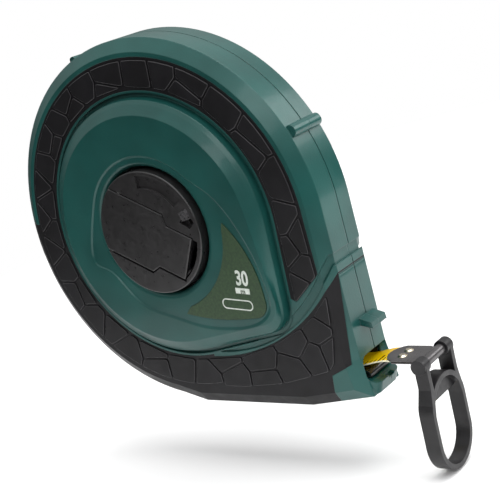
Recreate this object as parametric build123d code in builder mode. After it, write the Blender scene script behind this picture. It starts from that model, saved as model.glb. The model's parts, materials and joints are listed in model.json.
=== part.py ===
"""Closed-case fibreglass tape reel with a fold-out winding crank and a swinging end loop.

Frame: millimetres, +X the way the tape leaves the case, +Z up, and the crank on the -Y side.
The origin lies on the base, straight below the hub axis.
"""
import os
from math import cos, radians, sin

from build123d import *

os.makedirs("parts", exist_ok=True)

# Case
case_r = 75.0
hub_z = 76.9  # height of the hub axis over the base, which bellies out below the round
nose_top_x = 76.4  # front face just above the mouth
nose_foot_x = 79.0  # front face at the base
rim_half, left_rim = 11.0, 8.2  # rim width on the crank side and on the far side
face_half = 14.6  # half thickness at the rubber pads
edge_slope = 5.0  # radial width of the slope between rim and face
wall = 2.4
stop_ribs = [(24.3, 2.6, 4.8), (111, 1.5, 3.0)]  # degrees round, how proud, how wide
seam_half, seam_depth = 0.2, 0.4  # groove along the parting line
cavity_r = case_r - wall
cavity_half, left_cavity = 11.4, 9.0
skin = 1.3  # rubber thickness

# Raised centre of each side, as half thicknesses, with the outlines' round and corner radii
foot_y, crease_y, top_y = 13.0, 17.2, 20.2
foot_r, crease_r, top_r = 52.8, 51.8, 46.8
corner = (41.0, -34.4)
top_corner = (42.0, -30.8)
dish = 0.5  # the shallow dish round the crank and badge
dish_y = top_y - dish
cup_r = 26.05  # bore that the crank turns in
cup_flare = 2.4
cup_low = 9.4
cap_seat, boss_low = 15.4, 9.0  # outer and inner ends of the far side's boss

# Pads
pad_inner_r, pad_outer_r = 55.3, 68.2
pad_tip = (56.6, -32.6)
pad_corner = (69.0, -22.0)
wrap_start = 176.0  # where the rubber wraps over the rim, degrees from +X
wrap_end_x = 64.4
belly_x, flat_x = -15.0, -3.0  # where the round ends, and where the flat base starts
lift_x, lift_end, foot_lift = 50.0, 79.8, 4.7  # the base rises again to the front
lip_x = 81.4  # foremost edge of the lip under the mouth
band_depth = 0.9  # channel between the two runs of rubber

# Tape and mouth
tape_w, tape_t = 13.0, 0.35
tape_z = hub_z - 60.0
mouth_half, mouth_low, mouth_high = 7.6, hub_z - 66.2, hub_z - 57.4
funnel_x, funnel_end = 73.5, 84.0  # the mouth widens to the front between these
funnel_half, funnel_drop, funnel_rise = 16.6, 1.9, 0.8
guide_top = tape_z - 3.4
coil_r, core_r = 59.5, 17.0
coil_half = 6.5
flange_r, flange_t = 61.0, 1.0

# Crank, drawn along its own arm: t runs from the hinge to the free end, n across it
arm_turn = -27.0
crank_face = 22.0
crank_r = 25.2
arm_t = 2.8  # arm thickness
hinge_t, hinge_y = -18.0, crank_face - 1.4
arm_low, arm_high = -15.8, 10.1
neck_low, neck_high, neck_end = -12.3, 6.2, 19.6
step_start, step_end = 4.6, 7.3
knob_at = (11.6, -3.0)
knob_r, knob_len = 4.8, 8.0
gap = 0.3  # clearance round moving pieces
arm_gap = 0.7  # wider groove round the folded arm
heel_r = 7.6  # sweep of the arm's heel about the hinge
disc_low, journal_end = 9.0, 13.0  # inner face of the disc, and the far end of its journal
spindle_r, journal_r, bush_r = 6.0, 4.0, 7.0

# Clip and loop
bar_x, bar_z = 100.4, hub_z - 60.3
barrel_r, barrel_half = 2.0, 6.6
pin_r = 0.95
clip_half, clip_t = 7.1, 0.5
knuckle_r, knuckle_end = 2.95, 11.6
arm_side = 10.9  # outer face of the loop's arms, inside the round ends
ring_half, ring_wall, strap_half = 12.9, 2.0, 3.0
ring_top, ring_low = bar_z - 6.6, bar_z - 44.6
arm_in = arm_side - 2.2
web_low, web_t = bar_z - 15.6, 1.4

rivet_spots = [(89.5, -2.6), (89.5, 2.6)]
rivet_r, rivet_head = 0.9, 2.0

# Screws through both halves, as places from the hub axis
screw_seat = 9.0
screw_spots = [(65 * cos(radians(a)), 65 * sin(radians(a))) for a in (40, 110, 180, 250)] + [(62.0, -47.0)]

side = Plane(origin=(0, 0, hub_z), x_dir=(1, 0, 0), z_dir=(0, -1, 0))
crank_side = Plane(
    origin=(0, 0, hub_z),
    x_dir=(cos(radians(arm_turn)), 0, sin(radians(arm_turn))),
    z_dir=(0, -1, 0),
)
hinge_plane = Plane(
    origin=(
        hinge_t * cos(radians(arm_turn)),
        -hinge_y,
        hub_z + hinge_t * sin(radians(arm_turn)),
    ),
    x_dir=(0, -1, 0),
    z_dir=(-sin(radians(arm_turn)), 0, cos(radians(arm_turn))),
)
bar_plane = Plane(origin=(bar_x, 0, bar_z), x_dir=(1, 0, 0), z_dir=(0, -1, 0))


def base_at(x):
    """Height of the base from the hub axis, on its way up to the front."""
    return -hub_z + foot_lift * (x - lift_x) / (lift_end - lift_x)


def case_block(inset, rim):
    """Half the case as a solid, from the parting plane out, set in by an amount all round."""
    r = case_r - inset
    belly = (belly_x, -((r**2 - belly_x**2) ** 0.5))
    foot = (nose_foot_x - inset, base_at(nose_foot_x) + inset)
    with BuildPart() as block:
        with BuildSketch(side):
            with BuildLine():
                ThreePointArc(belly, (-r * sin(radians(45)), r * cos(radians(45))), (r, 0))
                front = (nose_top_x - inset, -57)
                Polyline((r, 0), front, foot, (lift_x, inset - hub_z), (flat_x, inset - hub_z), belly)
            make_face()
        extrude(amount=face_half - inset)
        outer = block.faces().sort_by(Axis.Y)[0]
        chamfer(outer.edges(), length=edge_slope, length2=face_half - rim, reference=outer)
    return block.part


def teardrop(plane, round_r, corner_r, corner_at):
    """A disc drawn out to one rounded corner, low at the front."""
    with BuildSketch(plane) as drop:
        Circle(round_r)
        with Locations(corner_at):
            Circle(corner_r)
        make_hull()
    return drop.sketch


def panel():
    """The raised centre: a steep glossy foot, a softened crease, then a slope up to the flat top."""
    levels = [
        (foot_y, foot_r, 11.0, corner),
        (crease_y - 0.5, crease_r + 0.3, 10.3, corner),
        (crease_y + 0.6, crease_r - 1.2, 9.8, corner),
        (top_y, top_r, 9.0, top_corner),
    ]
    with BuildPart() as raised:
        for low, high in zip(levels, levels[1:]):
            loft([teardrop(side.offset(level[0]), *level[1:]) for level in (low, high)], ruled=True)
    return raised.part


def pad_region():
    """Everything under the rubber, as prisms through the half case."""
    with BuildPart() as region:
        # the ring on the face, with its pointed end behind the nose
        with BuildSketch(side.offset(left_rim - 2)):
            Circle(pad_outer_r)
            with BuildLine():
                Line((0, 0), (pad_outer_r, 0))
                Line((pad_outer_r, 0), pad_corner)
                Line(pad_corner, pad_tip)
                Line(pad_tip, (0, 0))
            make_face()
            with BuildLine():
                Polyline((0, 0), pad_tip, (58, -90), (0, -90), (0, 0))
            make_face(mode=Mode.SUBTRACT)
            with BuildLine():
                Polyline(pad_corner, (90, -22), (90, -90), (58, -90), pad_tip, pad_corner)
            make_face(mode=Mode.SUBTRACT)
        extrude(amount=face_half)
        # the lower sweep, from the left round under the base to the nose
        with BuildSketch(side.offset(-1)):
            with BuildLine():
                Line((0, 0), (-90, 90 * sin(radians(180 - wrap_start))))
                Line((-90, 90 * sin(radians(180 - wrap_start))), (-90, -90))
                Line((-90, -90), (wrap_end_x - 2, -90))
                Line((wrap_end_x - 2, -90), (wrap_end_x + 0.4, -62.6))
                Line((wrap_end_x + 0.4, -62.6), (73.6, -58.5))
                Line((73.6, -58.5), (75.6, -22.6))
                ThreePointArc((75.6, -22.6), (50, -45.2), (10, -55.4))
                Line((10, -55.4), (0, 0))
            make_face()
        extrude(amount=face_half + 3)
        # the rubber stops at the green lip round the raised centre
        with BuildSketch(side.offset(-2)):
            Circle(pad_inner_r)
            with Locations(corner):
                Circle(13.2)
            make_hull()
        extrude(amount=face_half + 6, mode=Mode.SUBTRACT)
    return region.part


def swoosh(rim):
    """A channel that crosses the front and sweeps back between the two runs of rubber."""
    with BuildPart() as channel:
        with BuildSketch(side.offset(-1)):
            with BuildLine():
                Line((80, -15.0), (73.5, -15.6))
                ThreePointArc((73.5, -15.6), (52.4, -38.6), (14.0, -53.0))
                Line((14.0, -53.0), (14.2, -53.4))
                ThreePointArc((14.2, -53.4), (53.6, -41.9), (74.5, -19.8))
                Line((74.5, -19.8), (80, -19.4))
                Line((80, -19.4), (80, -15.0))
            make_face()
        extrude(amount=face_half + 3)
        add(case_block(0, rim), mode=Mode.INTERSECT)
        add(case_block(band_depth, rim), mode=Mode.SUBTRACT)
    return channel.part


def dish_outline(plane, size):
    """A ring close round the crank, drawn out past the badge."""
    ring = [(-27.14, 13.24), (2.6, 30.1), (21.4, 21.3)]
    tail = [
        (31.5, 13.2), (40.8, -0.6), (45.8, -14.2), (47.6, -25.3), (46.9, -33.4), (41.2, -38.4),
        (28.6, -40.7), (13.9, -39.9), (-1.3, -35.6), (-17.4, -28.4), (-27.6, -16.0),
    ]
    ring = [(size * x, size * z) for x, z in ring]
    tail = [(size * x, size * z) for x, z in tail]
    with BuildSketch(plane) as outline:
        with BuildLine():
            ThreePointArc(*ring)
            Spline(ring[2], *tail, ring[0], tangents=[(0.707, -0.707), (0.438, 0.899)])
        make_face()
    return outline.sketch


def dish_blank():
    """The shallow dish in the raised centre, with sloping sides."""
    with BuildPart() as blank:
        outlines = [dish_outline(side.offset(dish_y), 1.0), dish_outline(side.offset(top_y + 0.05), 1.024)]
        loft(outlines, ruled=True)
    return blank.part


def badge_blank(depth):
    """The badge's outline, from its bed outwards."""
    with BuildPart() as blank:
        with BuildSketch(side.offset(dish_y - depth)) as outline:
            with BuildLine():
                ThreePointArc((35.0, 1.6), (42.6, -10.6), (46.2, -26.0))
                Line((46.2, -26.0), (46.6, -36.8))
                Line((46.6, -36.8), (38.0, -37.0))
                ThreePointArc((38.0, -37.0), (23.0, -37.3), (6.4, -34.8))
                Line((6.4, -34.8), (9.2, -31.9))
                ThreePointArc((9.2, -31.9), (27.0, -19.6), (34.0, -1.5))
                Line((34.0, -1.5), (35.0, 1.6))
            make_face()
            sharp = [v for v in outline.vertices() if v.X > 46.5]
            fillet(sharp, radius=6.0)
        extrude(amount=2)
    return blank.part


def arm_outline(room):
    """The folding arm in plan: a wide band from the disc's edge, stepped down to a narrow neck."""
    with BuildSketch() as arm:
        with BuildLine():
            Polyline(
                (-30, arm_low - room),
                (step_start - 0.4, arm_low - room),
                (step_end - 0.4, neck_low - room),
                (neck_end + room, neck_low - room),
                (neck_end + room, neck_high + room),
                (step_end, neck_high + room),
                (step_start, arm_high + room),
                (-30, arm_high + room),
                (-30, arm_low - room),
            )
        make_face()
        Circle(crank_r - 0.2 + 10 * room, mode=Mode.INTERSECT)
    return arm.sketch


rubber_region = pad_region()
centre = panel()
dish_cut = dish_blank()


def pad_half(rim):
    """The rubber of one side, as a skin on the half case."""
    with BuildPart() as pad:
        add(case_block(0, rim))
        add(case_block(skin, rim), mode=Mode.SUBTRACT)
        add(rubber_region, mode=Mode.INTERSECT)
    return pad.part


def lip_half(reach):
    """Lower lip in front of the mouth, with a rounded end."""
    with BuildPart() as lip:
        with BuildSketch(side):
            with BuildLine():
                Polyline(
                    (70, base_at(70)),
                    (lift_end, base_at(lift_end)),
                    (lip_x, -67.6),
                    (lift_end, -66.4),
                    (70, -66.4),
                    (70, base_at(70)),
                )
            make_face()
        extrude(amount=reach)
        ends = lip.edges().filter_by(lambda e: e.center().X > 80 and abs(e.center().Y + reach) < 0.01)
        fillet(ends.sort_by(Axis.Z)[0], radius=4.0)
        # the parting line runs down its front
        with Locations((lip_x, 0, -68 + hub_z)):
            Box(2 * seam_depth + 0.8, 2 * seam_half, 20, mode=Mode.SUBTRACT)
    return lip.part


def seam_cut(rim):
    """Half of the groove along the parting line."""
    with BuildPart() as cut:
        add(case_block(0, rim))
        add(case_block(seam_depth, rim), mode=Mode.SUBTRACT)
        with BuildSketch(side.offset(seam_half)):
            Rectangle(400, 400)
        extrude(amount=40, mode=Mode.SUBTRACT)
    return cut.part


def shell_half(rim, cavity, pad):
    """One half of the case, before the work round its hub."""
    with BuildPart() as half_case:
        add(case_block(0, rim))
        add(pad, mode=Mode.SUBTRACT)
        # groove round the raised centre
        with BuildSketch(side.offset(face_half - 1.4)):
            Circle(foot_r + 1.5)
            with Locations(corner):
                Circle(12.4)
            make_hull()
        extrude(amount=5, mode=Mode.SUBTRACT)
        add(centre)
        add(dish_cut, mode=Mode.SUBTRACT)
        add(swoosh(rim), mode=Mode.SUBTRACT)
        add(seam_cut(rim), mode=Mode.SUBTRACT)
        add(lip_half(rim - 0.6))
        # thumb fin on the front, and the stop ribs across the rim
        with BuildSketch(side):
            with BuildLine():
                Polyline((74, -42.6), (80.9, -44.9), (81.2, -47.2), (74, -45.6), (74, -42.6))
            make_face()
        extrude(amount=5.3)
        for angle, proud, width in stop_ribs:
            with BuildSketch(side):
                with Locations((case_r * cos(radians(angle)), case_r * sin(radians(angle)))):
                    RectangleRounded(2 * proud, width, 0.45 * width, rotation=angle)
            extrude(amount=rim - 0.7)
        # hollow inside
        with BuildSketch(side):
            Circle(cavity_r)
            with BuildLine():
                Polyline((40, 0), (cavity_r - 1.2, 0), (73.4, -55), (73.4, -71.0), (48, -74.2))
                Polyline((48, -74.2), (0, -74.2), (-6, -72.3), (40, 0))
            make_face()
        extrude(amount=cavity, mode=Mode.SUBTRACT)
        with BuildSketch(side.offset(cavity - 0.5)):
            Circle(cavity_r - 5.0)
        extrude(amount=cavity_half - cavity + 0.5, mode=Mode.SUBTRACT)
        with BuildSketch(side.offset(cavity_half)):
            Circle(top_r - 2.2)
        extrude(amount=top_y - 2.2 - cavity_half, mode=Mode.SUBTRACT)
        # screw posts, built back up after the hollow
        with BuildSketch(side):
            with Locations(*screw_spots):
                Circle(2.9)
        extrude(amount=cavity_half + 0.5)
        # mouth, widening to the front like a funnel
        with Locations((72, 0, (mouth_low + mouth_high) / 2)):
            Box(12, 2 * mouth_half, mouth_high - mouth_low, mode=Mode.SUBTRACT)
        with BuildSketch(Plane.YZ.offset(funnel_x)):
            with Locations((0, (mouth_low + mouth_high) / 2)):
                RectangleRounded(2 * mouth_half, mouth_high - mouth_low, 2.0)
        with BuildSketch(Plane.YZ.offset(funnel_end)):
            with Locations((0, (mouth_low - funnel_drop + mouth_high + funnel_rise) / 2)):
                RectangleRounded(2 * funnel_half, mouth_high + funnel_rise - mouth_low + funnel_drop, 5.6)
        loft(mode=Mode.SUBTRACT)
        # notch in the middle of the lip
        with Locations((lip_x, 0, mouth_low - funnel_drop + 0.6)):
            Box(4.0, 4.4, 2.0, mode=Mode.SUBTRACT)
    return half_case.part


with BuildPart() as right_pad:
    add(pad_half(rim_half))
right_pad.part.label = "right_pad"

with BuildPart() as right_shell:
    add(shell_half(rim_half, cavity_half, right_pad.part))
    # cup wall and bore for the crank
    with BuildSketch(side.offset(cup_low)):
        Circle(cup_r + wall)
    extrude(amount=dish_y - cup_low)
    with BuildSketch(side.offset(5)):
        Circle(cup_r)
    extrude(amount=20, mode=Mode.SUBTRACT)
    rims = right_shell.edges().filter_by(GeomType.CIRCLE)
    rim = [e for e in rims if abs(e.radius - cup_r) < 0.01 and abs(e.center().Y + dish_y) < 0.01]
    fillet(rim, radius=cup_flare)
    # pilot holes for the screws
    with BuildSketch(side):
        with Locations(*screw_spots):
            Circle(1.25)
    extrude(amount=10.0, mode=Mode.SUBTRACT)
    # shallow bed for the badge
    add(badge_blank(0.5), mode=Mode.SUBTRACT)
right_shell.part.label = "right_shell"

left_skin = pad_half(left_rim)
with BuildPart() as left_pad:
    mirror(left_skin, about=Plane.XZ)
    # holes over the screw heads
    with BuildSketch(side.offset(-20)):
        with Locations(*screw_spots):
            Circle(3.0)
    extrude(amount=20, mode=Mode.SUBTRACT)
left_pad.part.label = "left_pad"

with BuildPart() as left_shell:
    mirror(shell_half(left_rim, left_cavity, left_skin), about=Plane.XZ)
    # stepped boss for the axle bush, with a bed for the hub cap outside it
    with BuildSketch(side.offset(-dish_y)):
        Circle(cup_r + wall)
    extrude(amount=dish_y - boss_low)
    with BuildSketch(side.offset(-top_y - 1)):
        Circle(cup_r)
    extrude(amount=top_y + 1 - cap_seat, mode=Mode.SUBTRACT)
    with BuildSketch(side.offset(-top_y)):
        Circle(bush_r)
    extrude(amount=top_y, mode=Mode.SUBTRACT)
    rims = left_shell.edges().filter_by(GeomType.CIRCLE)
    rim = [e for e in rims if abs(e.radius - cup_r) < 0.01 and abs(e.center().Y - dish_y) < 0.01]
    fillet(rim, radius=cup_flare)
    # clearance holes and counterbores for the screws
    with BuildSketch(side.offset(-20)):
        with Locations(*screw_spots):
            Circle(1.6)
    extrude(amount=20, mode=Mode.SUBTRACT)
    with BuildSketch(side.offset(-20)):
        with Locations(*screw_spots):
            Circle(2.75)
    extrude(amount=20 - screw_seat, mode=Mode.SUBTRACT)
    mirror(badge_blank(0.5), about=Plane.XZ, mode=Mode.SUBTRACT)
left_shell.part.label = "left_shell"

# badges, cap and screws
with BuildPart() as right_badge:
    add(badge_blank(0.5))
    with BuildSketch(side.offset(dish_y + 0.3)):
        Circle(90)
    extrude(amount=5, mode=Mode.SUBTRACT)
right_badge.part.label = "right_badge"

with BuildPart() as left_badge:
    mirror(right_badge.part, about=Plane.XZ)
left_badge.part.label = "left_badge"

with BuildPart() as hub_cap:
    with BuildSketch(side.offset(-crank_face)):
        Circle(crank_r)
    extrude(amount=crank_face - cap_seat)
    fillet(hub_cap.edges().group_by(Axis.Y)[-1], radius=1.2)
    with BuildSketch(side.offset(-crank_face + 2.0)):
        Circle(crank_r - 2.0)
    extrude(amount=crank_face, mode=Mode.SUBTRACT)
    # shallow ring and three finger dimples on the face
    with BuildSketch(side.offset(-crank_face)):
        Circle(19.0)
        Circle(17.8, mode=Mode.SUBTRACT)
    extrude(amount=0.5, mode=Mode.SUBTRACT)
    with BuildSketch(side.offset(-crank_face)):
        with PolarLocations(9.5, 3):
            Circle(2.6)
    extrude(amount=0.8, mode=Mode.SUBTRACT)
hub_cap.part.label = "hub_cap"

with BuildPart() as case_screws:
    # pan heads on the left, shanks reaching into the right-hand posts
    with BuildSketch(side.offset(-screw_seat - 1.9)):
        with Locations(*screw_spots):
            Circle(2.6)
    extrude(amount=1.9)
    with BuildSketch(side.offset(-screw_seat)):
        with Locations(*screw_spots):
            Circle(1.25)
    extrude(amount=screw_seat + 8.0)
    # cross recesses
    with BuildSketch(side.offset(-screw_seat - 1.9)):
        with Locations(*screw_spots):
            Rectangle(2.8, 0.6)
            Rectangle(0.6, 2.8)
    extrude(amount=1.0, mode=Mode.SUBTRACT)
case_screws.part.label = "case_screws"

with BuildPart() as axle_bush:
    with BuildSketch(side.offset(-cap_seat)):
        Circle(bush_r)
        Circle(journal_r + 0.05, mode=Mode.SUBTRACT)
    extrude(amount=cap_seat - boss_low)
axle_bush.part.label = "axle_bush"

with BuildPart() as mouth_guide:
    # low block that the tape slides out over, with a rounded front
    with Locations((72.4, 0, (mouth_low + guide_top) / 2)):
        Box(9.6, 2 * mouth_half - 0.4, guide_top - mouth_low)
    fillet(mouth_guide.edges().filter_by(Axis.Y).group_by(Axis.X)[-1].sort_by(Axis.Z)[-1], radius=2.2)
    for end in (-1, 1):
        with Locations((70.6, end * (mouth_half - 0.4), guide_top)):
            Box(4.0, 0.4, 3.0, align=(Align.CENTER, Align.CENTER, Align.MIN))
mouth_guide.part.label = "mouth_guide"

# reel
with BuildPart() as reel_core:
    with BuildSketch(side.offset(-coil_half)):
        Circle(core_r)
        Circle(core_r - 2.0, mode=Mode.SUBTRACT)
        Circle(spindle_r + 2.0)
        with PolarLocations(0, 5):
            Rectangle(core_r - 0.5, 1.6, align=(Align.MIN, Align.CENTER))
        RegularPolygon(spindle_r, 6, mode=Mode.SUBTRACT)
    extrude(amount=2 * coil_half)
reel_core.part.label = "reel_core"

with BuildPart() as right_flange:
    with BuildSketch(side.offset(coil_half)):
        Circle(flange_r)
        Circle(spindle_r + 0.4, mode=Mode.SUBTRACT)
        with PolarLocations(38, 6):
            SlotCenterToCenter(20, 9, rotation=0, mode=Mode.SUBTRACT)
    extrude(amount=flange_t)
right_flange.part.label = "right_flange"

with BuildPart() as left_flange:
    mirror(right_flange.part, about=Plane.XZ)
left_flange.part.label = "left_flange"

with BuildPart() as tape_coil:
    with BuildSketch(side.offset(-coil_half)):
        Circle(coil_r)
        Circle(core_r, mode=Mode.SUBTRACT)
    extrude(amount=2 * coil_half)
tape_coil.part.label = "tape_coil"

with BuildPart() as hub_screw:
    with BuildSketch(side.offset(-journal_end - 1.9)):
        Circle(2.8)
    extrude(amount=1.9)
    with BuildSketch(side.offset(-journal_end)):
        Circle(1.4)
    extrude(amount=8)
    with BuildSketch(side.offset(-journal_end - 1.9)):
        Rectangle(3.2, 0.6)
        Rectangle(0.6, 3.2)
    extrude(amount=1.0, mode=Mode.SUBTRACT)
hub_screw.part.label = "hub_screw"

# crank
with BuildPart() as crank_hub:
    with BuildSketch(side.offset(disc_low)):
        Circle(crank_r)
    extrude(amount=crank_face - disc_low)
    fillet(crank_hub.edges().group_by(Axis.Y)[0], radius=0.6)
    # running collar low on the disc
    with BuildSketch(side.offset(9.6)):
        Circle(cup_r - 0.05)
    extrude(amount=3.2)
    # hexagonal spindle that drives the reel, then the round journal
    with BuildSketch(side.offset(-coil_half)):
        RegularPolygon(spindle_r, 6)
    extrude(amount=disc_low + coil_half)
    with BuildSketch(side.offset(-journal_end)):
        Circle(journal_r)
    extrude(amount=journal_end)
    with BuildSketch(side.offset(-journal_end)):
        Circle(1.4)
    extrude(amount=8, mode=Mode.SUBTRACT)
    # bed of the folded arm
    with BuildSketch(crank_side.offset(crank_face - arm_t - gap)):
        add(arm_outline(arm_gap))
    extrude(amount=10, mode=Mode.SUBTRACT)
    # room for the heel of the arm as it swings in under its hinge
    with BuildSketch(crank_side.offset(hinge_y - heel_r)):
        with Locations((hinge_t + heel_r, (arm_low + arm_high) / 2)):
            Rectangle(28, arm_high - arm_low + 2 * arm_gap, align=(Align.MAX, Align.CENTER))
    extrude(amount=20, mode=Mode.SUBTRACT)
    # pocket for the knob and the finger gap past the arm's end
    with BuildSketch(crank_side.offset(crank_face - arm_t - knob_len - 1.2)):
        with Locations((knob_at[0] + 1.4, knob_at[1])):
            SlotOverall(2 * knob_r + 4.6, 2 * knob_r + 1.4)
    extrude(amount=20, mode=Mode.SUBTRACT)
    with BuildSketch(crank_side.offset(crank_face - 7.5)):
        Circle(23.2)
        with Locations((neck_end - 1, (neck_low + neck_high) / 2)):
            Rectangle(10, neck_high - neck_low, align=(Align.MIN, Align.CENTER), mode=Mode.INTERSECT)
    extrude(amount=20, mode=Mode.SUBTRACT)
    # sunk panel over the arm, and the small pointed pocket beside it
    with BuildSketch(side.offset(crank_face - 0.9)):
        Circle(23.6)
        Circle(18.3, mode=Mode.SUBTRACT)
        with BuildLine():
            Polyline((0, 0), (0.0, 40), (40, 25), (0, 0))
        make_face(mode=Mode.INTERSECT)
    extrude(amount=5, mode=Mode.SUBTRACT)
    with BuildSketch(side.offset(crank_face - 2.2)):
        with BuildLine():
            Polyline((20.6, 8.2), (16.6, 3.4), (20.9, 0.6), (23.6, 3.0), (20.6, 8.2))
        make_face()
    extrude(amount=5, mode=Mode.SUBTRACT)
    # bore for the hinge pin
    with BuildSketch(hinge_plane):
        Circle(pin_r)
    extrude(amount=40, both=True, mode=Mode.SUBTRACT)
crank_hub.part.label = "crank_hub"

with BuildPart() as crank_arm:
    with BuildSketch(crank_side.offset(crank_face - arm_t)):
        add(arm_outline(0))
    extrude(amount=arm_t)
    fillet(crank_arm.faces().sort_by(Axis.Y)[0].edges(), radius=0.5)
    with BuildSketch(hinge_plane.offset(arm_low)):
        Circle(arm_t / 2)
    extrude(amount=arm_high - arm_low)
    with BuildSketch(hinge_plane):
        Circle(pin_r + 0.05)
    extrude(amount=40, both=True, mode=Mode.SUBTRACT)
    # boss that the knob turns on
    with BuildSketch(crank_side.offset(crank_face - arm_t - 0.4)):
        with Locations(knob_at):
            Circle(3.4)
    extrude(amount=0.4)
    with BuildSketch(crank_side.offset(crank_face - arm_t - 0.4)):
        with Locations(knob_at):
            Circle(1.5)
    extrude(amount=2.2, mode=Mode.SUBTRACT)
crank_arm.part.label = "crank_arm"

with BuildPart() as crank_hinge_pin:
    with BuildSketch(hinge_plane.offset(arm_low - 1.6)):
        Circle(pin_r)
    extrude(amount=arm_high - arm_low + 3.2)
crank_hinge_pin.part.label = "crank_hinge_pin"

with BuildPart() as crank_knob:
    with BuildSketch(crank_side.offset(crank_face - arm_t - 0.4 - 0.1 - knob_len)):
        with Locations(knob_at):
            Circle(knob_r)
    extrude(amount=knob_len)
    fillet(crank_knob.edges().group_by(Axis.Y)[-1], radius=1.2)
    with BuildSketch(crank_side.offset(crank_face - arm_t - 0.5 - knob_len)):
        with Locations(knob_at):
            Circle(2.9)
    extrude(amount=1.6, mode=Mode.SUBTRACT)
    with BuildSketch(crank_side):
        with Locations(knob_at):
            Circle(1.55)
    extrude(amount=30, mode=Mode.SUBTRACT)
crank_knob.part.label = "crank_knob"

with BuildPart() as knob_pin:
    with BuildSketch(crank_side.offset(crank_face - arm_t - 0.5 - knob_len + 0.4)):
        with Locations(knob_at):
            Circle(2.7)
    extrude(amount=1.1)
    with BuildSketch(crank_side.offset(crank_face - arm_t - 0.5 - knob_len + 1.5)):
        with Locations(knob_at):
            Circle(1.5)
    extrude(amount=knob_len - 1.0 + 1.8)
knob_pin.part.label = "knob_pin"

# tape end, clip and loop
with BuildPart() as tape_blade:
    with Locations((51, 0, tape_z)):
        Box(91, tape_w, tape_t)
    with BuildSketch(Plane.XY.offset(tape_z - 2)):
        with Locations(*rivet_spots):
            Circle(rivet_r)
    extrude(amount=4, mode=Mode.SUBTRACT)
tape_blade.part.label = "tape_blade"

with BuildPart() as tape_clip:
    # two leaves folded over the end of the tape, from the rolled barrel back
    for lower, back in ((tape_t / 2, 82.5), (-tape_t / 2 - clip_t, 86.0)):
        with BuildSketch(Plane.XY.offset(tape_z + lower)):
            with BuildLine():
                Line((bar_x - 3.6, -clip_half), (86.6, -clip_half))
                ThreePointArc((86.6, -clip_half), (back, 0), (86.6, clip_half))
                Line((86.6, clip_half), (bar_x - 3.6, clip_half))
                Polyline(
                    (bar_x - 3.6, clip_half),
                    (bar_x - 3.2, barrel_half),
                    (bar_x - 1, barrel_half),
                    (bar_x - 1, -barrel_half),
                    (bar_x - 3.2, -barrel_half),
                    (bar_x - 3.6, -clip_half),
                )
            make_face()
        extrude(amount=clip_t)
    with BuildSketch(bar_plane.offset(-barrel_half)):
        Circle(barrel_r)
    extrude(amount=2 * barrel_half)
    with BuildSketch(bar_plane.offset(-10)):
        Circle(pin_r)
    extrude(amount=20, mode=Mode.SUBTRACT)
    # the tape ends short of the barrel
    with Locations((91.5, 0, tape_z)):
        Box(10, tape_w, tape_t, mode=Mode.SUBTRACT)
    with BuildSketch(Plane.XY.offset(tape_z - 2)):
        with Locations(*rivet_spots):
            Circle(rivet_r)
    extrude(amount=4, mode=Mode.SUBTRACT)
tape_clip.part.label = "tape_clip"

with BuildPart() as clip_rivets:
    with BuildSketch(Plane.XY.offset(tape_z - tape_t / 2 - clip_t)):
        with Locations(*rivet_spots):
            Circle(rivet_r)
    extrude(amount=2 * clip_t + tape_t)
    with Locations(*[(x, y, tape_z + tape_t / 2 + clip_t) for x, y in rivet_spots]):
        Cone(rivet_head, 0.6 * rivet_head, 0.6, align=(Align.CENTER, Align.CENTER, Align.MIN))
    with Locations(*[(x, y, tape_z - tape_t / 2 - clip_t) for x, y in rivet_spots]):
        Cone(rivet_r, 1.4, 0.4, align=(Align.CENTER, Align.CENTER, Align.MAX))
clip_rivets.part.label = "clip_rivets"

with BuildPart() as hook_pin:
    with BuildSketch(bar_plane.offset(-knuckle_end + 0.8)):
        Circle(pin_r)
    extrude(amount=2 * knuckle_end - 1.6)
hook_pin.part.label = "hook_pin"

window_long = ring_top - ring_low - 2 * ring_wall
with BuildPart() as hook_loop:
    # oblong ring across the tape, below the bar
    with BuildSketch(Plane.YZ.offset(bar_x - strap_half)):
        with Locations((0, (ring_top + ring_low) / 2)):
            SlotOverall(ring_top - ring_low, 2 * ring_half, rotation=90)
            SlotOverall(window_long, 2 * (ring_half - ring_wall), rotation=90, mode=Mode.SUBTRACT)
    extrude(amount=2 * strap_half)
    # thin web across the head of the ring
    with Locations((bar_x, 0, web_low)):
        Box(web_t, 2 * ring_half - 4.6, ring_top - 3 - web_low, align=(Align.CENTER, Align.CENTER, Align.MIN))
    # small nub at the foot of the ring
    with Locations((bar_x, 0, ring_low)):
        Box(1.6, 3.4, 1.0)
    # arms up to the knuckles on the ends of the bar
    for end in (-1, 1):
        with BuildSketch(Plane.YZ.offset(bar_x - strap_half)):
            with BuildLine():
                Polyline(
                    (end * arm_in, bar_z),
                    (end * arm_side, bar_z),
                    (end * arm_side, bar_z - 9.0),
                    (end * ring_half, bar_z - 19.5),
                    (end * (ring_half - ring_wall), bar_z - 19.5),
                    (end * arm_in, bar_z - 10.5),
                    (end * arm_in, bar_z),
                )
            make_face()
        extrude(amount=2 * strap_half)
        # the arm narrows a little from the ring's strap up to the knuckle
        with BuildSketch(bar_plane.offset(end * 8.0)):
            with BuildLine():
                Polyline((-4, -15), (-strap_half, -15), (-strap_half + 0.9, -8.5), (-strap_half + 0.9, 5))
                Polyline((-strap_half + 0.9, 5), (-4, 5), (-4, -15))
            make_face()
        extrude(amount=end * 6.0, mode=Mode.SUBTRACT)
        with BuildSketch(bar_plane.offset(end * knuckle_end)):
            Circle(knuckle_r)
        extrude(amount=-end * (knuckle_end - barrel_half - gap))
    with BuildSketch(bar_plane.offset(-knuckle_end + 0.7)):
        Circle(pin_r + 0.05)
    extrude(amount=2 * knuckle_end - 1.4, mode=Mode.SUBTRACT)
hook_loop.part.label = "hook_loop"

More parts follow.
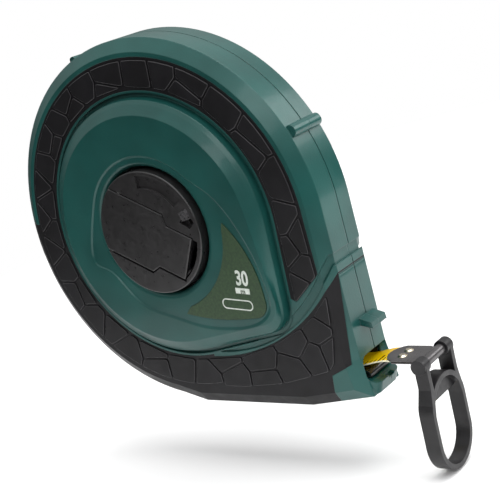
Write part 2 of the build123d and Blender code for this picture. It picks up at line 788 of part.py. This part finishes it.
pieces = [
    right_shell, left_shell, right_pad, left_pad, right_badge, left_badge, hub_cap, case_screws,
    axle_bush, mouth_guide, reel_core, right_flange, left_flange, tape_coil, hub_screw, crank_hub,
    crank_arm, crank_hinge_pin, crank_knob, knob_pin, tape_blade, tape_clip, clip_rivets, hook_pin,
    hook_loop,
]
for piece in pieces:
    export_step(piece.part, f"parts/{piece.part.label}.step")
    print(piece.part.label, len(piece.part.solids()), round(piece.part.volume, 1))
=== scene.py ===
import bpy
import json
import math
from mathutils import Matrix, Vector


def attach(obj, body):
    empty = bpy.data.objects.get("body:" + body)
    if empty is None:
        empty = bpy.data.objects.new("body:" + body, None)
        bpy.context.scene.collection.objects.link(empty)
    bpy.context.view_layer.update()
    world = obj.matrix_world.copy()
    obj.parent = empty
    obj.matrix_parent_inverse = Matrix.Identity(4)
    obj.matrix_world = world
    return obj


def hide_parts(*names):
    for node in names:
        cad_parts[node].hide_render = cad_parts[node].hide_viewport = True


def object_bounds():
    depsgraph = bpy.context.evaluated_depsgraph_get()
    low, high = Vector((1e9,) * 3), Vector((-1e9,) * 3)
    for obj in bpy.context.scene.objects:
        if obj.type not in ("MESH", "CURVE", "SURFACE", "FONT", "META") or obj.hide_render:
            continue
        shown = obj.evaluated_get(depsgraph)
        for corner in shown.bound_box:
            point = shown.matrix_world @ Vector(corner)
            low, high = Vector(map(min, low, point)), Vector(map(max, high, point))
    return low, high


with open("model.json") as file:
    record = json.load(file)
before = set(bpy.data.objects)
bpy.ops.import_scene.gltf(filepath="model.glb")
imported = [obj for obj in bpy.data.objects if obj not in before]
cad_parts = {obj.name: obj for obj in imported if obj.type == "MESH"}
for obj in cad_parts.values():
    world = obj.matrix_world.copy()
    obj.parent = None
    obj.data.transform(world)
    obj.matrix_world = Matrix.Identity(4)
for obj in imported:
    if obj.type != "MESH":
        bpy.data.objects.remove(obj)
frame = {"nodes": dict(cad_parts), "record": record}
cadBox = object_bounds()
print("frame loaded,", len(frame["nodes"]), "nodes")

mm = 0.001
hub = (0.0, 0.0769)  # the hub axis, as X and Z
crease = math.radians(30)  # edges sharper than this stay crisp on the round pieces


def hexColor(text):
    # sRGB hex to the linear values that sockets take
    parts = [int(text[i:i + 2], 16) / 255 for i in (0, 2, 4)]
    return [c / 12.92 if c <= 0.04045 else ((c + 0.055) / 1.055) ** 2.4 for c in parts] + [1.0]


def addNode(mat, kind, inputs=None, **settings):
    node = mat.node_tree.nodes.new(kind)
    for key, value in settings.items():
        setattr(node, key, value)
    for key, value in (inputs or {}).items():
        if isinstance(value, bpy.types.NodeSocket):
            mat.node_tree.links.new(value, node.inputs[key])
        else:
            node.inputs[key].default_value = value
    return node


def newMaterial(name):
    mat = bpy.data.materials.new(name)
    mat.use_nodes = True
    shader = mat.node_tree.nodes["Principled BSDF"]
    coords = mat.node_tree.nodes.new("ShaderNodeTexCoord").outputs["Object"]
    return mat, shader, coords


# moulded plastic and rubber share one recipe: a mottled colour, a grained surface and uneven gloss
recipe = dict(mottleSpan=(0.35, 0.65), mottleDetail=3.0, grainDetail=2.0,
              wearSpan=(0.3, 0.7), wearDetail=4.0, wearFiner=3,
              edge=0.25 * mm, edgeRays=6, coatRough=0.1, specular=0.5, ior=1.5)


def mouldedMaterial(name, settings):
    mat, shader, coords = newMaterial(name)
    links = mat.node_tree.links
    mottle = addNode(mat, "ShaderNodeTexNoise", {
        "Vector": coords, "Scale": 1 / settings["mottle"], "Detail": recipe["mottleDetail"]})
    spread = addNode(mat, "ShaderNodeMapRange", {
        "Value": mottle.outputs["Fac"],
        "From Min": recipe["mottleSpan"][0], "From Max": recipe["mottleSpan"][1]})
    tint = addNode(mat, "ShaderNodeMix", {
        0: spread.outputs["Result"],
        6: hexColor(settings["dark"]), 7: hexColor(settings["light"])}, data_type="RGBA")
    links.new(tint.outputs[2], shader.inputs["Base Color"])
    grain = addNode(mat, "ShaderNodeTexNoise", {
        "Vector": coords, "Scale": 1 / settings["grain"], "Detail": recipe["grainDetail"]})
    # moulded edges are never sharp, so each catches a thin line of light
    softEdge = addNode(mat, "ShaderNodeBevel", {
        "Radius": settings.get("edge", recipe["edge"])}, samples=recipe["edgeRays"])
    bump = addNode(mat, "ShaderNodeBump", {
        "Height": grain.outputs["Fac"], "Strength": settings["grainStrength"],
        "Distance": settings["grainDepth"], "Normal": softEdge.outputs["Normal"]})
    links.new(bump.outputs["Normal"], shader.inputs["Normal"])
    wear = addNode(mat, "ShaderNodeTexNoise", {
        "Vector": coords, "Scale": recipe["wearFiner"] / settings["mottle"], "Detail": recipe["wearDetail"]})
    rough = addNode(mat, "ShaderNodeMapRange", {
        "Value": wear.outputs["Fac"],
        "From Min": recipe["wearSpan"][0], "From Max": recipe["wearSpan"][1],
        "To Min": settings["rough"] - settings["wear"], "To Max": settings["rough"] + settings["wear"]})
    links.new(rough.outputs["Result"], shader.inputs["Roughness"])
    shader.inputs["IOR"].default_value = recipe["ior"]
    shader.inputs["Metallic"].default_value = settings.get("metallic", 0.0)
    shader.inputs["Coat Weight"].default_value = settings.get("coat", 0.0)
    shader.inputs["Coat Roughness"].default_value = settings.get("coatRough", recipe["coatRough"])
    shader.inputs["Specular IOR Level"].default_value = settings.get("specular", recipe["specular"])
    return mat


finishes = {
    # injection-moulded ABS in a pearly dark green: satin skin over fine flakes, glossier where polished
    "case_green": dict(dark="154743", light="1d5550", mottle=30 * mm, grain=0.6 * mm, grainStrength=0.5,
                       grainDepth=0.08 * mm, rough=0.33, wear=0.05, coat=0.2, coatRough=0.1, specular=0.4,
                       metallic=0.14, edge=0.6 * mm),
    # overmoulded TPE rubber, matt with a fine spark-eroded grain
    "pad_rubber": dict(dark="121113", light="18171a", mottle=14 * mm, grain=0.3 * mm, grainStrength=0.6,
                       grainDepth=0.08 * mm, rough=0.46, wear=0.07, specular=0.26, edge=0.2 * mm),
    # printed polyester label with a sandy grain
    "badge_olive": dict(dark="223a22", light="2e4829", mottle=1.1 * mm, grain=0.4 * mm, grainStrength=0.4,
                        grainDepth=0.04 * mm, rough=0.5, wear=0.05),
    # glass-filled nylon, black with a slight bloom
    "crank_black": dict(dark="1b1a1b", light="242324", mottle=6 * mm, grain=0.3 * mm, grainStrength=0.3,
                        grainDepth=0.03 * mm, rough=0.34, wear=0.08, specular=0.65, edge=0.15 * mm),
    # polished acetal
    "guide_black": dict(dark="0c0c0c", light="141414", mottle=20 * mm, grain=0.4 * mm, grainStrength=0.1,
                        grainDepth=0.03 * mm, rough=0.22, wear=0.04),
    # recycled ABS inside the case
    "reel_grey": dict(dark="2e2e2e", light="3a3a3a", mottle=20 * mm, grain=0.5 * mm, grainStrength=0.3,
                      grainDepth=0.05 * mm, rough=0.45, wear=0.06),
    # natural acetal bush
    "bush_white": dict(dark="d4d4cb", light="e2e2da", mottle=8 * mm, grain=0.4 * mm, grainStrength=0.1,
                       grainDepth=0.03 * mm, rough=0.38, wear=0.05),
    # blackened spring steel
    "clip_black": dict(dark="5a5859", light="666465", mottle=9 * mm, grain=0.5 * mm, grainStrength=0.1,
                       grainDepth=0.02 * mm, rough=0.3, wear=0.04, metallic=0.8),
    # nickel-plated brass
    "rivet_nickel": dict(dark="b3a996", light="d2cab8", mottle=1.5 * mm, grain=0.4 * mm, grainStrength=0.2,
                         grainDepth=0.03 * mm, rough=0.26, wear=0.08, metallic=1.0),
    # zinc-plated steel
    "screw_steel": dict(dark="8a8b8d", light="a6a6a4", mottle=2 * mm, grain=0.4 * mm, grainStrength=0.2,
                        grainDepth=0.03 * mm, rough=0.34, wear=0.08, metallic=1.0),
    # glass-filled nylon loop, matt charcoal
    "loop_grey": dict(dark="161517", light="201f21", mottle=7 * mm, grain=0.3 * mm, grainStrength=0.5,
                      grainDepth=0.06 * mm, rough=0.4, wear=0.08, specular=0.42, edge=0.4 * mm),
    # fibreglass tape in clear PVC over yellow
    "tape_yellow": dict(dark="eebb00", light="fbd20a", mottle=9 * mm, grain=0.6 * mm, grainStrength=0.1,
                        grainDepth=0.03 * mm, rough=0.2, wear=0.05, coat=0.4),
}
materials = {name: mouldedMaterial(name, settings) for name, settings in finishes.items()}
slotOf = {part["node"]: part["material_slot"] for part in frame["record"]["subparts"]}
for name, piece in frame["nodes"].items():
    piece.data.materials.clear()
    piece.data.materials.append(materials[slotOf[name]])
print("materials on", len(slotOf), "nodes")


def finishPiece(piece, name, slot, body, material=None):
    piece.name = name
    piece.data.materials.clear()
    piece.data.materials.append(material or materials[slot])
    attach(piece, body)
    return piece


def onlyThis(piece):
    bpy.ops.object.select_all(action="DESELECT")
    piece.select_set(True)
    bpy.context.view_layer.objects.active = piece


# raised stones on the rubber, each round a spot of its own
stones = dict(
    face=14.6 * mm, sink=0.15 * mm, height=0.42 * mm, groove=0.42 * mm, edge=0.2 * mm, edgeRise=0.6,
    shortest=1.3 * mm, corner=11, smooth=20, blank=13 * mm, blankSides=12,
    # in mm: how far off a neighbour still counts, then the rings round the hub that hold the stones in
    neighbour=27, innerRing=56.1, outerRing=dict(upper=67.4, lower=68.0), sweepRing=56.3,
    # in degrees: the cuts each stone takes from its outer ring, and where borders take over from rings
    outerCuts=(-5, 0, 5), ringEnd=dict(upper=190, lower=285), borderFrom=dict(upper=330, lower=270),
    # how far a face turns to the side, and how far it stands off, to take the painted edge highlight
    highlightTurn=(0.15, 0.97), highlightAbove=0.3 * mm,
    # the spots: degrees round from the front, then mm from the hub axis
    upper=[(0, 57.8), (13, 63.6), (28, 57.6), (30, 65.5), (44, 62.8), (60, 65.6), (62, 57.6),
           (71, 63.2), (82, 61.3), (96, 63.2), (99, 55.6), (110, 62.6), (119, 57.0), (122, 65.3),
           (130, 61.0), (140, 56.6), (141, 64.2), (151, 60.8), (160, 64.7), (167, 59.3), (173, 66.2),
           (336, 65.6), (343, 66.9), (348, 59.6), (353, 66.6)],
    lower=[(180, 59.6), (186, 64.8), (195, 60.7), (205, 65.3), (207, 57.4), (217, 64.0), (227, 58.8),
           (236, 64.0), (247, 57.2), (250, 64.9), (262, 61.5), (274, 65.2), (285, 58.4), (286, 67.3),
           (297, 73.8), (300, 65.0), (308, 77.9), (316.5, 70.6), (317, 80.8), (322, 86.0),
           (325, 77.0), (332, 77.3)],
    borders=dict(upper=("tip", "side", "outer"), lower=("sweep", "nose", "foot")),
    # borders as straight runs, X and Z from the hub axis; a stone stays on its own side of each
    tip=[(57.6, -32.2), (69.0, -22.4)],
    side=[(56.3, 0.0), (56.0, -32.0)],
    outer=[(67.3, 0.0), (68.4, -23.0)],
    sweep=[(-3.0, -56.6), (22.3, -55.6), (43.9, -49.0), (57.0, -42.3), (64.6, -36.6), (71.5, -29.0)],
    nose=[(71.2, -28.0), (69.6, -48.0), (67.4, -57.7)],
    foot=[(67.4, -57.7), (64.6, -61.0), (53.3, -64.0), (42.1, -66.7), (22.3, -68.6), (12.0, -68.6)],
)


def onCircle(angle, radius):
    turn = math.radians(angle)
    return Vector((radius * math.cos(turn), radius * math.sin(turn)))


def cutBy(point, normal):
    # keeps the side that the normal points away from
    bpy.ops.mesh.select_all(action="SELECT")
    bpy.ops.mesh.bisect(plane_co=point, plane_no=normal, clear_outer=True, use_fill=False)


def runCut(spot, near, along):
    # a cut along a straight run, turned so that the stone's own spot is kept
    normal = Vector((along.y, -along.x))
    return (near, -normal if (spot - near).dot(normal) > 0 else normal)


def nearestRun(spot, border):
    # nearest straight run of a border: a point on it and its direction
    best = None
    for start, end in zip(border, border[1:]):
        a, b = Vector(start), Vector(end)
        t = max(0.0, min(1.0, (spot - a).dot(b - a) / (b - a).length_squared))
        near = a.lerp(b, t)
        if best is None or (near - spot).length < best[0]:
            best = ((near - spot).length, near, (b - a).normalized())
    return best[1:]


def stoneCuts(run, angle, spot, spots):
    # halfway to each neighbour, then the rings, then the straight borders
    cuts = []
    for other in spots:
        gap = (other - spot).length
        if other is not spot and gap < stones["neighbour"]:
            cuts.append((spot.lerp(other, 0.5), (other - spot) / gap))
    if angle < stones["ringEnd"][run]:
        outward = onCircle(angle, 1)
        cuts.append((outward * stones["innerRing"], -outward))
        for side in stones["outerCuts"]:
            outward = onCircle(angle + side, 1)
            cuts.append((outward * stones["outerRing"][run], outward))
    if angle > stones["borderFrom"][run]:
        for name in stones["borders"][run]:
            border = stones[name]
            if name == "sweep":
                # it curves the other way, so only its nearest run can cut
                cuts.append(runCut(spot, *nearestRun(spot, border)))
                continue
            for start, end in zip(border, border[1:]):
                cuts.append(runCut(spot, Vector(start), (Vector(end) - Vector(start)).normalized()))
        if run == "lower":
            outward = spot.normalized()
            cuts.append((outward * stones["sweepRing"], -outward))
    return cuts


def makeStone(spot, cuts):
    place = (hub[0] + spot.x * mm, -(stones["face"] - stones["sink"]), hub[1] + spot.y * mm)
    bpy.ops.mesh.primitive_circle_add(vertices=stones["blankSides"], radius=stones["blank"], fill_type="NGON",
                                      location=place, rotation=(math.pi / 2, 0, 0))
    stone = bpy.context.active_object
    bpy.ops.object.transform_apply(location=True, rotation=True, scale=True)
    bpy.ops.object.mode_set(mode="EDIT")
    for near, normal in cuts:
        cutBy((hub[0] + near.x * mm, 0, hub[1] + near.y * mm), (normal.x, 0, normal.y))
    bpy.ops.object.mode_set(mode="OBJECT")
    return stone


def makeStones():
    rows = [(run, angle, onCircle(angle, radius))
            for run in ("upper", "lower") for angle, radius in stones[run]]
    spots = [spot for _, _, spot in rows]
    made = [makeStone(spot, stoneCuts(run, angle, spot, spots)) for run, angle, spot in rows]
    bpy.ops.object.select_all(action="DESELECT")
    for stone in made:
        stone.select_set(True)
    bpy.context.view_layer.objects.active = made[0]
    bpy.ops.object.join()
    piece = bpy.context.active_object
    bpy.ops.object.mode_set(mode="EDIT")
    bpy.ops.mesh.select_mode(type="FACE")
    bpy.ops.mesh.select_all(action="SELECT")
    bpy.ops.mesh.remove_doubles(threshold=stones["shortest"])
    # drawn apart by the groove, and only the stones themselves kept
    bpy.ops.mesh.select_all(action="SELECT")
    bpy.ops.mesh.inset(thickness=stones["groove"], use_individual=True, use_even_offset=True)
    bpy.ops.mesh.select_all(action="INVERT")
    bpy.ops.mesh.delete(type="FACE")
    bpy.ops.mesh.select_all(action="SELECT")
    bpy.ops.mesh.select_mode(type="VERT")
    bpy.ops.mesh.bevel(affect="VERTICES", offset_type="PERCENT", offset_pct=stones["corner"], segments=2)
    # raised off the rubber, with a slanted edge round the top
    bpy.ops.mesh.select_mode(type="FACE")
    bpy.ops.mesh.select_all(action="SELECT")
    rise = stones["height"] + stones["sink"]
    bpy.ops.mesh.extrude_region_move(TRANSFORM_OT_translate={"value": (0, -rise, 0)})
    bpy.ops.mesh.inset(thickness=stones["edge"], depth=0, use_individual=True)
    bpy.ops.transform.translate(value=(0, -stones["edge"] * stones["edgeRise"], 0))
    bpy.ops.mesh.select_all(action="SELECT")
    bpy.ops.mesh.normals_make_consistent(inside=False)
    bpy.ops.object.mode_set(mode="OBJECT")
    bpy.ops.object.shade_smooth_by_angle(angle=math.radians(stones["smooth"]))
    return piece


# the same rubber, lighter and glossier, on the stones' slanted top edges: a painted highlight
edgeHighlightRubber = mouldedMaterial("rubber_edge_highlight", dict(finishes["pad_rubber"], dark="3c3b3d", light="4a494b",
                                                     rough=0.3))


def finishStones(piece, name):
    finishPiece(piece, name, "pad_rubber", "case")
    piece.data.materials.append(edgeHighlightRubber)
    steepest, flattest = stones["highlightTurn"]
    # slanted faces near the stone tops get the lighter rubber, a painted edge highlight
    for face in piece.data.polygons:
        slanted = steepest < abs(face.normal.y) < flattest
        high = abs(face.center.y) > stones["face"] + stones["highlightAbove"]
        face.material_index = 1 if slanted and high else 0


rightStones = makeStones()
finishStones(rightStones, "right_stones")
onlyThis(rightStones)
bpy.ops.object.duplicate()
leftStones = bpy.context.active_object
bpy.ops.object.mode_set(mode="EDIT")
bpy.ops.mesh.select_all(action="SELECT")
bpy.ops.transform.mirror(constraint_axis=(False, True, False), center_override=(0, 0, 0))
bpy.ops.mesh.normals_make_consistent(inside=False)
bpy.ops.object.mode_set(mode="OBJECT")
finishStones(leftStones, "left_stones")
print("stones on both pads:", len(rightStones.data.polygons), "faces a side")

# printed numerals on the right badge: the tape's length, over a block with its unit
printing = dict(
    badgeTop=20.0 * mm, film=0.06 * mm, lean=-6.0, rounding=0.47, roundSteps=8,
    number=dict(text="30", place=(37.9, -20.9), size=8.2 * mm, thick=0.03, wide=0.72),
    unit=dict(text="m", place=(37.1, -26.0), size=3.0 * mm, thick=0.02, wide=1.0),
    block=dict(place=(37.0, -25.75), size=(6.6, 2.3)),
    oval=dict(place=(33.0, -31.2), size=(14.5, 4.3), line=0.5),
)
inkMat = mouldedMaterial("screen_ink", dict(dark="ccd4cb", light="e0e6df", mottle=1.5 * mm, grain=0.4 * mm,
                                            grainStrength=0.2, grainDepth=0.02 * mm, rough=0.5, wear=0.05))


def placeOnBadge(piece, spot, layer):
    # from flat on the ground to the badge's face, leaning a little
    bpy.ops.object.mode_set(mode="OBJECT")
    onlyThis(piece)
    piece.rotation_euler = (math.pi / 2, math.radians(-printing["lean"]), 0)
    out = printing["badgeTop"] + layer * printing["film"]
    piece.location = (hub[0] + spot[0] * mm, -out, hub[1] + spot[1] * mm)
    bpy.ops.object.transform_apply(location=True, rotation=True, scale=True)
    return piece


def printedText(settings, name, layer, material):
    bpy.ops.object.text_add(location=(0, 0, 0))
    words = bpy.context.active_object
    words.data.body = settings["text"]
    words.data.align_x = "CENTER"
    words.data.align_y = "CENTER"
    words.data.size = settings["size"]
    words.data.offset = settings["thick"] * settings["size"]
    words.data.extrude = printing["film"] / 2
    words.scale = (settings["wide"], 1, 1)
    bpy.ops.object.convert(target="MESH")
    piece = placeOnBadge(bpy.context.active_object, settings["place"], layer)
    return finishPiece(piece, name, "badge_olive", "case", material)


def printedPatch(settings, name, layer, material, ringLine=None):
    # a thin slab, or with a line's width given, a round-ended outline
    bpy.ops.mesh.primitive_plane_add(size=1 * mm, location=(0, 0, 0))
    patch = bpy.context.active_object
    patch.scale = (settings["size"][0], settings["size"][1], 1)
    bpy.ops.object.transform_apply(location=True, rotation=True, scale=True)
    bpy.ops.object.mode_set(mode="EDIT")
    bpy.ops.mesh.select_all(action="SELECT")
    if ringLine:
        rounding = printing["rounding"] * settings["size"][1] * mm
        bpy.ops.mesh.bevel(affect="VERTICES", offset=rounding, segments=printing["roundSteps"])
        bpy.ops.mesh.select_all(action="SELECT")
        bpy.ops.mesh.inset(thickness=ringLine * mm)
        bpy.ops.mesh.delete(type="FACE")
    bpy.ops.mesh.select_all(action="SELECT")
    bpy.ops.mesh.extrude_region_move(TRANSFORM_OT_translate={"value": (0, 0, printing["film"])})
    bpy.ops.mesh.select_all(action="SELECT")
    bpy.ops.mesh.normals_make_consistent(inside=False)
    bpy.ops.object.mode_set(mode="OBJECT")
    return finishPiece(placeOnBadge(patch, settings["place"], layer), name, "badge_olive", "case", material)


printed = [
    printedText(printing["number"], "right_number", 0.3, inkMat),
    printedPatch(printing["block"], "right_unit_block", 0.0, inkMat),
    printedText(printing["unit"], "right_unit", 1.4, materials["badge_olive"]),
    printedPatch(printing["oval"], "right_oval", 0.0, inkMat, ringLine=printing["oval"]["line"]),
]
print("badge printing:", len(printed), "pieces")

# trim moulded into the crank's disc: angles in degrees round the hub from the front, radii and heights in mm
crankTrim = dict(
    rails=[dict(radius=22.0, width=0.55, low=14.4, high=20.9, start=-48.0, sweep=34.0),
           dict(radius=21.1, width=0.35, low=14.4, high=17.5, start=-38.0, sweep=20.0)],
    patch=dict(radius=20.85, width=4.7, low=21.7, high=22.05, start=22.5, sweep=10.5),
    nib=dict(place=(20.6, 3.3), foot=1.35, tip=0.25, low=19.7, tall=1.3, sides=32, rounding=0.1),
    steps=16, weld=0.01,
)
stippledNylon = mouldedMaterial("stippled_nylon", dict(finishes["crank_black"], dark="262527", light="4c4b4d",
                                                       mottle=0.9 * mm, grain=0.7 * mm, grainStrength=0.9,
                                                       grainDepth=0.12 * mm, rough=0.3))


def sweptBand(settings, name, material=None):
    # a small upright section, swept round the hub
    turn = math.radians(settings["start"])
    middle = (settings["low"] + settings["high"]) / 2
    place = (hub[0] + settings["radius"] * mm * math.cos(turn), -middle * mm,
             hub[1] + settings["radius"] * mm * math.sin(turn))
    bpy.ops.mesh.primitive_plane_add(size=1 * mm, location=place, rotation=(0, -turn, 0))
    band = bpy.context.active_object
    band.scale = (settings["width"], settings["high"] - settings["low"], 1)
    bpy.ops.object.transform_apply(location=True, rotation=True, scale=True)
    bpy.ops.object.mode_set(mode="EDIT")
    bpy.ops.mesh.select_all(action="SELECT")
    bpy.ops.mesh.spin(steps=crankTrim["steps"], angle=math.radians(settings["sweep"]),
                      center=(hub[0], 0, hub[1]), axis=(0, -1, 0))
    bpy.ops.mesh.select_all(action="SELECT")
    bpy.ops.mesh.remove_doubles(threshold=crankTrim["weld"] * mm)
    bpy.ops.mesh.normals_make_consistent(inside=False)
    bpy.ops.object.mode_set(mode="OBJECT")
    bpy.ops.object.shade_smooth_by_angle(angle=crease)
    return finishPiece(band, name, "crank_black", "reel", material)


def pocketNib(settings, name):
    place = (hub[0] + settings["place"][0] * mm, -(settings["low"] + settings["tall"] / 2) * mm,
             hub[1] + settings["place"][1] * mm)
    bpy.ops.mesh.primitive_cone_add(
        vertices=settings["sides"], radius1=settings["foot"] * mm, radius2=settings["tip"] * mm,
        depth=settings["tall"] * mm, location=place, rotation=(math.pi / 2, 0, 0))
    nib = bpy.context.active_object
    bpy.ops.object.transform_apply(location=True, rotation=True, scale=True)
    bpy.ops.object.mode_set(mode="EDIT")
    bpy.ops.mesh.select_all(action="SELECT")
    bpy.ops.mesh.bevel(offset=settings["rounding"] * mm, segments=2)
    bpy.ops.object.mode_set(mode="OBJECT")
    bpy.ops.object.shade_smooth_by_angle(angle=crease)
    return finishPiece(nib, name, "crank_black", "reel")


crankPieces = [sweptBand(rail, "finger_rail_" + str(i + 1)) for i, rail in enumerate(crankTrim["rails"])]
crankPieces.append(sweptBand(crankTrim["patch"], "stippled_patch", stippledNylon))
crankPieces.append(pocketNib(crankTrim["nib"], "pocket_nib"))
print("crank trim:", len(crankPieces), "pieces")

# the blade sags a little where it leaves the mouth; its print is black divisions, and a pale band along its
# near edge is a painted highlight
tape = dict(z=16.9 * mm, start=5.5, end=96.5, step=1.5, half=6.45, thick=0.35 * mm,
            sag=2.2, sagBack=38.0, sagAt=70.0, sagEnd=84.0,
            division=2.0 * mm, ten=10.0 * mm, line=0.55 * mm, tenLine=0.8 * mm,
            short=3.6 * mm, long=6.2 * mm, nearEdgeHighlight=0.7 * mm, ink="15120a", pale="f4efcf")


def tapeHeight(x):
    # how far the blade hangs under its straight line, in mm
    if x < tape["sagAt"]:
        t = (x - tape["sagBack"]) / (tape["sagAt"] - tape["sagBack"])
    else:
        t = (tape["sagEnd"] - x) / (tape["sagEnd"] - tape["sagAt"])
    t = max(0.0, min(1.0, t))
    return -tape["sag"] * t * t * (3 - 2 * t)


def bladeMaterial():
    mat = mouldedMaterial("fibreglass_tape", finishes["tape_yellow"])
    shader = mat.node_tree.nodes["Principled BSDF"]
    base = shader.inputs["Base Color"].links[0].from_socket
    coords = mat.node_tree.nodes["Texture Coordinate"].outputs["Object"]
    place = addNode(mat, "ShaderNodeSeparateXYZ", {"Vector": coords})
    fromEdge = addNode(mat, "ShaderNodeMath", {0: place.outputs["Y"], 1: tape["half"] * mm}, operation="ADD")
    marks = []
    for pitch, line, reach in (("division", "line", "short"), ("ten", "tenLine", "long")):
        along = addNode(mat, "ShaderNodeMath", {
            0: place.outputs["X"], 1: tape[pitch]}, operation="FLOORED_MODULO")
        onLine = addNode(mat, "ShaderNodeMath", {0: along.outputs[0], 1: tape[line]}, operation="LESS_THAN")
        within = addNode(mat, "ShaderNodeMath", {
            0: fromEdge.outputs[0], 1: tape[reach]}, operation="LESS_THAN")
        marks.append(addNode(mat, "ShaderNodeMath", {
            0: onLine.outputs[0], 1: within.outputs[0]}, operation="MULTIPLY"))
    both = addNode(mat, "ShaderNodeMath", {
        0: marks[0].outputs[0], 1: marks[1].outputs[0]}, operation="MAXIMUM")
    inked = addNode(mat, "ShaderNodeMix", {
        0: both.outputs[0], 6: base, 7: hexColor(tape["ink"])}, data_type="RGBA")
    # a pale band along the near edge: a painted highlight where the blade's curved edge would catch the light
    nearEdgeHighlight = addNode(mat, "ShaderNodeMath", {
        0: fromEdge.outputs[0], 1: tape["nearEdgeHighlight"]}, operation="LESS_THAN")
    edged = addNode(mat, "ShaderNodeMix", {
        0: nearEdgeHighlight.outputs[0], 6: inked.outputs[2], 7: hexColor(tape["pale"])}, data_type="RGBA")
    mat.node_tree.links.new(edged.outputs[2], shader.inputs["Base Color"])
    return mat


def makeBlade():
    # the first step as a plane, then its front edge drawn forward along the sag
    step = tape["step"]
    middle = (tape["start"] + step / 2) * mm
    bpy.ops.mesh.primitive_plane_add(size=1 * mm, location=(middle, 0, tape["z"]))
    piece = bpy.context.active_object
    piece.scale = (step, 2 * tape["half"], 1)
    bpy.ops.object.transform_apply(location=True, rotation=True, scale=True)
    for vertex in piece.data.vertices:
        vertex.select = vertex.co.x > middle
    for edge in piece.data.edges:
        edge.select = all(piece.data.vertices[i].select for i in edge.vertices)
    for face in piece.data.polygons:
        face.select = False
    bpy.ops.object.mode_set(mode="EDIT")
    bpy.ops.mesh.select_mode(type="EDGE")
    x = tape["start"] + step
    while x < tape["end"]:
        ahead = min(x + step, tape["end"])
        bpy.ops.mesh.extrude_region_move(TRANSFORM_OT_translate={
            "value": ((ahead - x) * mm, 0, (tapeHeight(ahead) - tapeHeight(x)) * mm)})
        x = ahead
    bpy.ops.mesh.select_all(action="SELECT")
    bpy.ops.mesh.normals_make_consistent(inside=False)
    bpy.ops.object.mode_set(mode="OBJECT")
    thickness = piece.modifiers.new("thickness", "SOLIDIFY")
    thickness.thickness = tape["thick"]
    thickness.offset = 0
    bpy.ops.object.modifier_apply(modifier="thickness")
    bpy.ops.object.shade_smooth_by_angle(angle=crease)
    return piece


blade = finishPiece(makeBlade(), "printed_blade", "tape_yellow", "tape", bladeMaterial())
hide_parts("tape_blade")
print("blade sagged and ruled")

# a round pale table, then light and camera
studio = dict(tableAt=(0.15, 0.25), tableRadius=0.56, tableSides=96, tableGap=0.5 * mm,
              tableColor="fbfbfb", tableRough=0.9, tableSpecular=0.1,
              skyTop=1.1, skySide=0.07, skyEnd=0.9, aim=(0.02, 0, 0.07))
bpy.ops.object.select_all(action="DESELECT")
bpy.ops.mesh.primitive_circle_add(
    vertices=studio["tableSides"], radius=studio["tableRadius"], fill_type="NGON",
    location=(*studio["tableAt"], cadBox[0][2] - studio["tableGap"]))
floor = bpy.context.active_object
floor.name = "floor"
floorMat, floorShader, _ = newMaterial("paleTable")
floorShader.inputs["Base Color"].default_value = hexColor(studio["tableColor"])
floorShader.inputs["Roughness"].default_value = studio["tableRough"]
floorShader.inputs["Specular IOR Level"].default_value = studio["tableSpecular"]
floor.data.materials.append(floorMat)

scene = bpy.context.scene
world = bpy.data.worlds.new("studio")
scene.world = world
world.use_nodes = True
background = world.node_tree.nodes["Background"]
# the room: white where it is looked at, and for its light a bright ceiling over dim walls
direction = addNode(world, "ShaderNodeTexCoord").outputs["Generated"]
height = addNode(world, "ShaderNodeSeparateXYZ", {"Vector": direction}).outputs["Z"]
ramp = addNode(world, "ShaderNodeValToRGB", {"Fac": height})
for stop, position, level in zip(ramp.color_ramp.elements, (0.0, studio["skyEnd"]),
                                 (studio["skySide"], studio["skyTop"])):
    stop.position = position
    stop.color = (level, level, level, 1)
seen = addNode(world, "ShaderNodeLightPath").outputs["Is Camera Ray"]
shown = addNode(world, "ShaderNodeMix", {
    0: seen, 6: ramp.outputs["Color"], 7: (1, 1, 1, 1)}, data_type="RGBA")
world.node_tree.links.new(shown.outputs[2], background.inputs["Color"])
background.inputs["Strength"].default_value = 1.0

lights = {
    "overhead": dict(place=(0.35, 0.05, 1.3), size=1.1, power=13),
    "rightSide": dict(place=(1.2, 0.1, 0.7), size=0.6, power=5.5),
    "front": dict(place=(0.5, -1.3, 0.9), size=0.5, power=2.7),
    "backRight": dict(place=(0.75, 1.05, 0.65), size=0.5, power=3),
}
for name, settings in lights.items():
    bpy.ops.object.light_add(type="AREA", location=settings["place"])
    lamp = bpy.context.active_object
    lamp.name = name
    lamp.data.size = settings["size"]
    lamp.data.energy = settings["power"]
    lamp.rotation_euler = (Vector(studio["aim"]) - lamp.location).to_track_quat("-Z", "Y").to_euler()

camera = dict(place=(0.3215, -0.3616, 0.1790), lens=87.84, sensor=36, near=0.01,
              right=(0.792, 0.5632, -0.2358), up=(0.039, 0.3387, 0.9401), back=(0.6093, -0.7537, 0.2463))
bpy.ops.object.camera_add(location=camera["place"])
cam = bpy.context.active_object
cam.data.lens = camera["lens"]
cam.data.sensor_width = camera["sensor"]
cam.data.clip_start = camera["near"]
cam.rotation_euler = Matrix((camera["right"], camera["up"], camera["back"])).transposed().to_euler()
scene.camera = cam
scene.view_settings.view_transform = "Standard"
